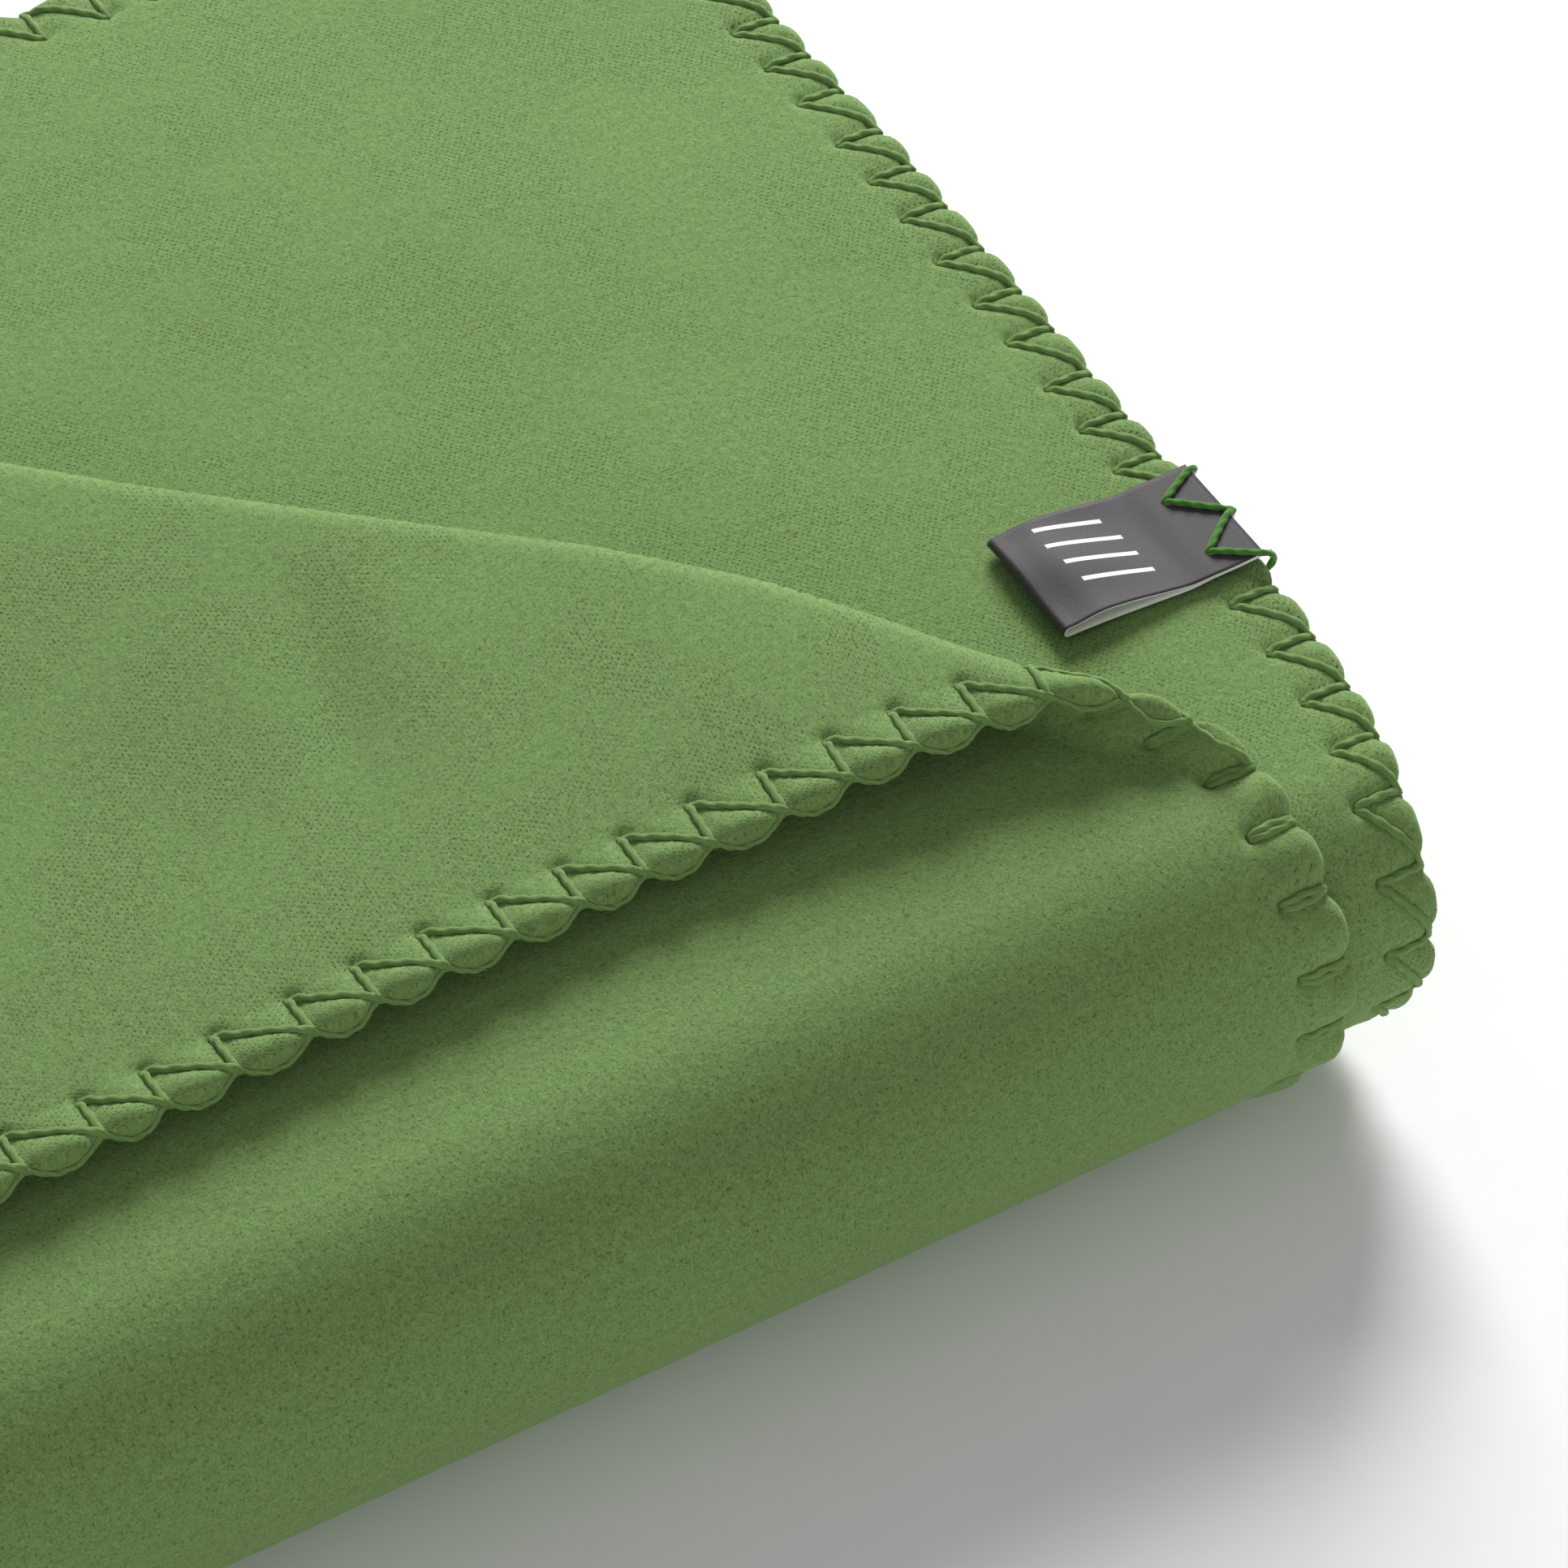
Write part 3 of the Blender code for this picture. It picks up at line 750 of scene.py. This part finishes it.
def on_cloth(cloth, kind, side, s, l):
    """The point of the cloth s in from a hem and l along it, and the way out from its middle."""
    hem = cloth["hems"][kind]
    deep = np.maximum(s, 1.5 * MM)
    found = []
    for grid, depth in ((cloth[side], s), (cloth["middle"], deep)):
        k = np.interp(depth, hem["depth"], np.arange(len(hem["depth"])))
        m = np.interp(l, hem["run"], np.arange(len(hem["run"])))
        if kind == "across":
            i, j = k, grid.shape[1] - 1 - m
        else:
            i, j = m, grid.shape[1] - 1 - k
        i0 = np.minimum(i.astype(int), grid.shape[0] - 2)
        j0 = np.minimum(j.astype(int), grid.shape[1] - 2)
        fi, fj = (i - i0)[:, None], (j - j0)[:, None]
        found.append((grid[i0, j0] * (1 - fi) + grid[i0 + 1, j0] * fi) * (1 - fj)
                     + (grid[i0, j0 + 1] * (1 - fi) + grid[i0 + 1, j0 + 1] * fi) * fj)
    point, middle = found
    out = point - middle
    return point, out / np.maximum(np.linalg.norm(out, axis=1, keepdims=True), 1e-9)


def strand_tube(path, out, radius, sides, twist, flatness=0.8):
    """Points and quads of one twisted two-ply strand; its ends are drawn in to nearly nothing."""
    path = np.array(path)
    ahead = np.gradient(path, axis=0)
    ahead /= np.linalg.norm(ahead, axis=1, keepdims=True)
    out = out - ahead * np.sum(out * ahead, axis=1, keepdims=True)
    out /= np.linalg.norm(out, axis=1, keepdims=True)
    beside = np.cross(ahead, out)
    length = lengths_along(path)
    angle = np.linspace(0, 2 * math.pi, sides, endpoint=False)[None, :]
    lobes = 0.68 + 0.32 * np.abs(np.cos(angle - twist * length[:, None]))
    ends = np.minimum(np.minimum(length, length[-1] - length) / (0.5 * MM), 1)[:, None]
    reach = radius * lobes * np.maximum(ends, 0.1)
    points = path[:, None] + (out[:, None] * (flatness * np.cos(angle) * reach)[..., None]
                              + beside[:, None] * (np.sin(angle) * reach)[..., None])
    n = len(path)
    index = np.arange(n * sides).reshape(n, sides)
    around = np.roll(index, -1, axis=1)
    quads = np.stack([index[:-1], around[:-1], around[1:], index[1:]], -1).reshape(-1, 4)
    fold = sides // 2 + 1
    caps = []
    for ring, order in ((index[0], -1), (index[-1], 1)):
        for k in range(1, fold - 1):
            caps.append([ring[k - 1], ring[k], ring[sides - k - 1], ring[(sides - k) % sides]][::order])
    uv = np.stack([np.broadcast_to(length[:, None], (n, sides)),
                   np.broadcast_to(angle * radius, (n, sides))], -1)
    return points.reshape(-1, 3), np.concatenate([quads, caps]), uv.reshape(-1, 2)


def stitch_strands(cloth, kind, hole, following, fine):
    """The three strands of one stitch, as paths on the cloth with their outward directions."""
    face, reverse = ("outer", "inner") if cloth["face_out"] else ("inner", "outer")
    many = 13 if fine else 6
    inward = BITE * (1 - np.linspace(0, 1, many) ** 1.3)
    bowed = np.sin(math.pi * np.linspace(0, 1, many))
    strands = []
    for edge, bow in ((hole, -HALF_APART), (following, HALF_APART)):
        slant = hole + (edge - hole) * (1 - inward / BITE)
        legs = [on_cloth(cloth, kind, face, inward, slant + 0.25 * bow),
                on_cloth(cloth, kind, reverse, inward[::-1][1:], edge + 0.25 * bow + bow * bowed[1:])]
        strands.append([np.concatenate(parts) for parts in zip(*legs)])
    t = np.linspace(0, 1, many + 2)
    over = 0.3 * MM + 1.0 * MM * np.sin(math.pi * t)
    strands.append(on_cloth(cloth, kind, reverse, over, hole + (following - hole) * t))
    return strands


def hem_yarn(name, cloth, fine, wanted=None, strands=3):
    """All the yarn of a ply's hems as one mesh; wanted picks stitches by where their hole is."""
    points, faces, uvs, total = [], [], [], 0
    sides = 10 if fine else 6
    for kind in cloth["hems"]:
        places = cloth["hems"][kind]["places"]
        for hole, following in zip(places[:-1], places[1:]):
            at = on_cloth(cloth, kind, "middle", np.array([BITE]), np.array([hole]))[0][0]
            if wanted is not None and not wanted(kind, hole, at):
                continue
            for path, out in stitch_strands(cloth, kind, hole, following, fine)[:strands]:
                path = path + out * LAID_ON * YARN
                if fine:
                    t = np.linspace(0, len(path) - 1, 3 * len(path))
                    path, out = (np.stack([np.interp(t, np.arange(len(path)), v[:, c])
                                           for c in range(3)], -1) for v in (path, out))
                ends = [0, -1]
                path[ends] -= out[ends] * 1.0 * MM
                tube, quads, uv = strand_tube(path, out, YARN, sides, TWIST)
                points.append(tube)
                faces.append(quads + total)
                uvs.append(uv)
                total += len(tube)
    points = np.concatenate(points)
    points[:, 2] = np.maximum(points[:, 2], 0.02 * MM)
    return mesh_object(name, points, np.concatenate(faces), np.concatenate(uvs),
                       np.ones(len(points)), yarn)


def spun_yarn(name, light, dark):
    """Soft acrylic yarn: matt, with a light fuzz at its rim, and fibres that slant across it,
    drawn 0.4 mm apart, coarser than they are, so that they show."""
    material, tree, surface = new_material(name)
    place = add_node(tree, "ShaderNodeUVMap", uv_map="cloth")
    slanted = add_node(tree, "ShaderNodeMapping", {
        "Vector": place, "Rotation": (0, 0, math.radians(28)), "Scale": (0.5 / MM, 2.6 / MM, 1.0)})
    fibres = add_node(tree, "ShaderNodeTexNoise", {
        "Vector": slanted, "Scale": 1.0, "Detail": 3.0}, noise_dimensions="2D")
    tone = add_node(tree, "ShaderNodeMix", {
        "Factor": fibres, "A": linear(dark), "B": linear(light)}, "Result", data_type="RGBA")
    relief = add_node(tree, "ShaderNodeBump", {
        "Height": fibres, "Strength": 0.5, "Distance": 0.15 * MM})
    shader = add_node(tree, "ShaderNodeBsdfPrincipled", {
        "Base Color": tone, "Roughness": 0.8, "IOR": 1.5, "Specular IOR Level": 0.2,
        "Sheen Weight": 0.3, "Sheen Roughness": 0.5, "Sheen Tint": linear("#B5CF98"),
        "Normal": relief})
    tree.links.new(shader, surface)
    return material


yarn = spun_yarn("acrylic_overlock_yarn", "#83A160", "#4A6C31")


outer_past = past[0, ::-1]
corner_past = past[:, -1]
LOWER_HALF = 9 * MM


def outer_part(turned_part):
    """Picks the outer ply's stitches that are, or aren't, past the roll's fixed lower half."""
    def wanted(kind, hole, at):
        line = outer_past if kind == "across" else corner_past
        return (np.interp(hole, outer_cloth["hems"][kind]["run"], line) > LOWER_HALF) == turned_part
    return wanted


flap_yarn = hem_yarn("turned_corner_yarn", outer_cloth, True, wanted=outer_part(True))
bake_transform(flap_yarn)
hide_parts("flap_hem_front", "flap_hem_side")
outer_yarn = hem_yarn("outer_ply_yarn", outer_cloth, True, wanted=outer_part(False), strands=2)
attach(outer_yarn, "folded_blanket")
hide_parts("end_hem_outer_leaf", "back_hem_0")

label_low, label_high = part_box("label_loop")
tail_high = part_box("label_tail")[1]


def beside_label(kind, hole, at):
    """Leaves out the stitches that the label covers; its own are made with the label."""
    covered = label_low.y - 3 * MM < at[1] < label_high.y + 1 * MM
    return kind == "along" or not (covered and at[2] > FOLD_Z)


label_yarn = hem_yarn("label_ply_yarn", label_cloth, True, wanted=beside_label)
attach(label_yarn, "folded_blanket")
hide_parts("end_hem_label_leaf", "back_hem_1")


def declare_ply(u, v, kept=None):
    """Works out the size that a ply's cloth has laid flat, cell by cell, and which cells are kept; the
    whole sheet is 1.6 by 1.3 m.
    """
    cells = np.diff(u)[:, None] * np.diff(v)[None, :]
    if kept is None:
        kept = np.ones(cells.shape, bool)


declare_ply(outer_u, outer_v, ~turned)
declare_ply(outer_u, outer_v, turned)
declare_ply(label_u, label_v)
for ply, ply_below, nodes in (
        (2, 4, ["back_hem_2", "back_hem_3"]), (4, 6, ["back_hem_4", "back_hem_5"]),
        (6, 7, ["back_hem_6", "end_hem_inner_leaf_6"]), (7, 6, ["back_hem_7", "end_hem_inner_leaf_7"])):
    cloth, inner, u, v = inner_cloths[ply]
    piece = hem_yarn(f"inner_yarn_{ply}", cloth, False)
    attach(piece, "folded_blanket")
    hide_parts(*nodes)
    declare_ply(u, v)


# ------------------------------------------------------------------ the label
# A strip of woven polyester satin, dark grey outside and left white inside, folded in two
# with its ends caught in the hem. Its loop stands a little open. Its printing is four bars.

TAPE = 0.28 * MM
BAR_LENGTHS = np.array([12.4, 13.8, 13.2, 12.8]) * MM
BAR_WIDTH = 1.0 * MM
BAR_SLANT = 0.16
LOOP_OPEN = 2.3 * MM                 # how far the loop stands open
LABEL_HINGE = Vector(joints["label_flip"]["pos_m"])
tape_rest = label_low.z


def satin_label(name, printed):
    """Woven satin: fine threads across, drawn 0.26 mm apart, a soft shine, and bars in white ink."""
    material, tree, surface = new_material(name)
    place = add_node(tree, "ShaderNodeUVMap", uv_map="cloth")
    ribbed = add_node(tree, "ShaderNodeMapping", {"Vector": place, "Scale": (3.8 / MM, 0.9 / MM, 1.0)})
    threads = add_node(tree, "ShaderNodeTexNoise", {
        "Vector": ribbed, "Scale": 1.0, "Detail": 2.0}, noise_dimensions="2D")
    dark, light = ("#353134", "#4A4548") if printed else ("#E9E9E7", "#FAFAF8")
    colour = add_node(tree, "ShaderNodeMix", {
        "Factor": threads, "A": linear(dark), "B": linear(light)}, "Result", data_type="RGBA")
    if printed:
        u = add_node(tree, "ShaderNodeSeparateXYZ", {"Vector": place}, "X")
        v = add_node(tree, "ShaderNodeSeparateXYZ", {"Vector": place}, "Y")
        slanted = add_node(tree, "ShaderNodeMath", {0: u, 1: BAR_SLANT, 2: v}, operation="MULTIPLY_ADD")
        ink = 0.0
        for line, length in enumerate(BAR_LENGTHS):
            centre_u = (174.3 + 0.5 * line) * MM
            centre_v = -(65.8 + 4.7 * line) * MM
            within_u = add_node(tree, "ShaderNodeMath", {
                0: u, 1: centre_u, 2: length / 2}, operation="COMPARE")
            within_v = add_node(tree, "ShaderNodeMath", {
                0: slanted, 1: centre_v + BAR_SLANT * centre_u, 2: BAR_WIDTH / 2}, operation="COMPARE")
            bar = add_node(tree, "ShaderNodeMath", {0: within_u, 1: within_v}, operation="MULTIPLY")
            ink = add_node(tree, "ShaderNodeMath", {0: bar, 1: ink}, operation="MAXIMUM")
        colour = add_node(tree, "ShaderNodeMix", {
            "Factor": ink, "A": colour, "B": linear("#EFEDEC")}, "Result", data_type="RGBA")
    relief = add_node(tree, "ShaderNodeBump", {
        "Height": threads, "Strength": 0.3, "Distance": 0.1 * MM})
    shader = add_node(tree, "ShaderNodeBsdfPrincipled", {
        "Base Color": colour, "Roughness": 0.62, "IOR": 1.5, "Specular IOR Level": 0.22,
        "Sheen Weight": 0.05, "Normal": relief})
    tree.links.new(shader, surface)
    return material


def label_mesh():
    """The tape's middle line from its lower end, round the loop, to its upper end, as a grid."""
    end_low = label_high.x + 15.0 * MM
    end_top = label_high.x + 13.3 * MM
    fold = label_low.x + 1.4 * MM
    low_x = np.linspace(end_low, fold, 34)
    top_x = np.linspace(fold, end_top, 34)

    def opening(x):
        widest = LOOP_OPEN * (1 - smooth(x, 168 * MM, 192 * MM))
        return 0.38 * MM + widest - 0.9 * MM * (1 - smooth(x, fold, 169 * MM))

    def rise(x):
        curl = np.clip((LABEL_HINGE.x - x) / (28 * MM), 0, 1) ** 2
        return tape_rest + 0.2 * MM + 0.62 * MM * smooth(x, 185 * MM, 191 * MM) + 1.0 * MM * curl

    half = opening(np.array([fold]))[0] / 2
    turn = np.linspace(0, math.pi, 12)[1:-1]
    x = np.concatenate([low_x, fold - half * np.sin(turn), top_x])
    z = np.concatenate([rise(low_x), rise(fold) + half * (1 - np.cos(turn)), rise(top_x) + opening(top_x)])
    y = np.linspace(label_low.y, label_high.y, 30)
    across = (y - y.mean()) / (y[-1] - y[0])
    x, y, z = np.broadcast_arrays(x[:, None], y[None, :], z[:, None])
    free = 1 - smooth(x, 172 * MM, 190 * MM)
    wave = np.sin(2.2 * math.pi * across + 0.6 + (x - fold) * 90) * 0.32 * MM
    middle = smooth(x, 164 * MM, 176 * MM) * (1 - smooth(x, 180 * MM, 189 * MM))
    cupped = 0.5 * MM * np.cos(math.pi * across) * middle
    z = z + free * wave - cupped
    y = y + 0.35 * MM * np.sin((x - fold) * 160) * (1 - 0.4 * across)
    return np.stack([x, y, z], -1)


def label_object():
    """The tape with its two faces, the printed one outside; within the loop it is white."""
    middle = label_mesh()
    out = normals_of(middle)
    if out[5, 5, 2] > 0:
        out = -out
    na, nt = middle.shape[:2]
    cloth = {"outer": middle + out * TAPE / 2, "inner": middle - out * TAPE / 2, "middle": middle,
             "face_out": True}
    piece = cloth_object("label", cloth, middle[:, 0, 0], middle[0, :, 1],
                         satin_label("grey_woven_satin", True))
    piece.data.materials.append(satin_label("white_woven_satin", False))
    white = np.ones(len(piece.data.polygons), np.int32)
    outside = np.zeros((na - 1, nt - 1), np.int32)
    outside[:2] = 1
    white[:outside.size] = outside.ravel()
    piece.data.polygons.foreach_set("material_index", white)
    piece.data.attributes.new("sharp_edge", "BOOLEAN", "EDGE")
    return piece


label = label_object()
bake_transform(label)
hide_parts("label_tail", "label_loop")


# ------------------------------------------------------------------ the label's stitches
# Where the hem's yarn crosses the label it lies on top, so it stands clear and looks darker:
# two turns through the tape, pulled tight, and round the hem's edge to the underside.


def label_stitches():
    """Each strand comes up through its hole, over the tape, and down round the hem's edge."""
    top = tape_rest + 1.5 * MM
    edge_x = tail_high.x + 1.2 * MM
    turns = [label_high.y - 1.2 * MM, label_low.y + 11.6 * MM, label_low.y - 0.8 * MM]
    holes = [label_high.y - 6.2 * MM, label_low.y + 4.8 * MM]
    points, faces, uvs, total = [], [], [], 0
    for number, hole in enumerate(holes):
        for turn in turns[number:number + 2]:
            way = np.array([
                (192.0 * MM, hole, top - 2.2 * MM), (192.1 * MM, hole, top - 0.4 * MM),
                (193.2 * MM, hole + 0.1 * (turn - hole), top + 0.35 * MM),
                (196.5 * MM, hole + 0.5 * (turn - hole), top + 0.3 * MM),
                (200.2 * MM, hole + 0.92 * (turn - hole), top + 0.25 * MM),
                (edge_x + 0.7 * MM, turn, top - 0.6 * MM), (edge_x + 0.8 * MM, turn, top - 2.2 * MM),
                (edge_x - 1.2 * MM, turn, top - 4.3 * MM), (edge_x - 3 * MM, turn, top - 4.6 * MM)])
            t = np.linspace(0, len(way) - 1, 64)
            path = np.stack([np.interp(t, np.arange(len(way)), way[:, c]) for c in range(3)], -1)
            for _ in range(9):
                path[1:-1] = (path[:-2] + 2 * path[1:-1] + path[2:]) / 4
            out = np.stack([np.clip((path[:, 0] - 198 * MM) / (2 * MM), 0, 1), 0 * path[:, 0],
                            np.clip((path[:, 2] - top + 2.5 * MM) / (1 * MM), -1, 1)], -1) + 1e-3
            tube, quads, uv = strand_tube(path, out, 0.72 * MM, 12, 1 / (0.9 * MM), 0.85)
            points.append(tube)
            faces.append(quads + total)
            uvs.append(uv)
            total += len(tube)
    points = np.concatenate(points)
    return mesh_object("label_stitches", points, np.concatenate(faces), np.concatenate(uvs),
                       np.ones(len(points)), spun_yarn("taut_acrylic_yarn", "#5F9440", "#2C5A20"))


label_yarn_on_top = label_stitches()
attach(label_yarn_on_top, "folded_blanket")
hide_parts("label_stitch_front", "label_stitch_back")
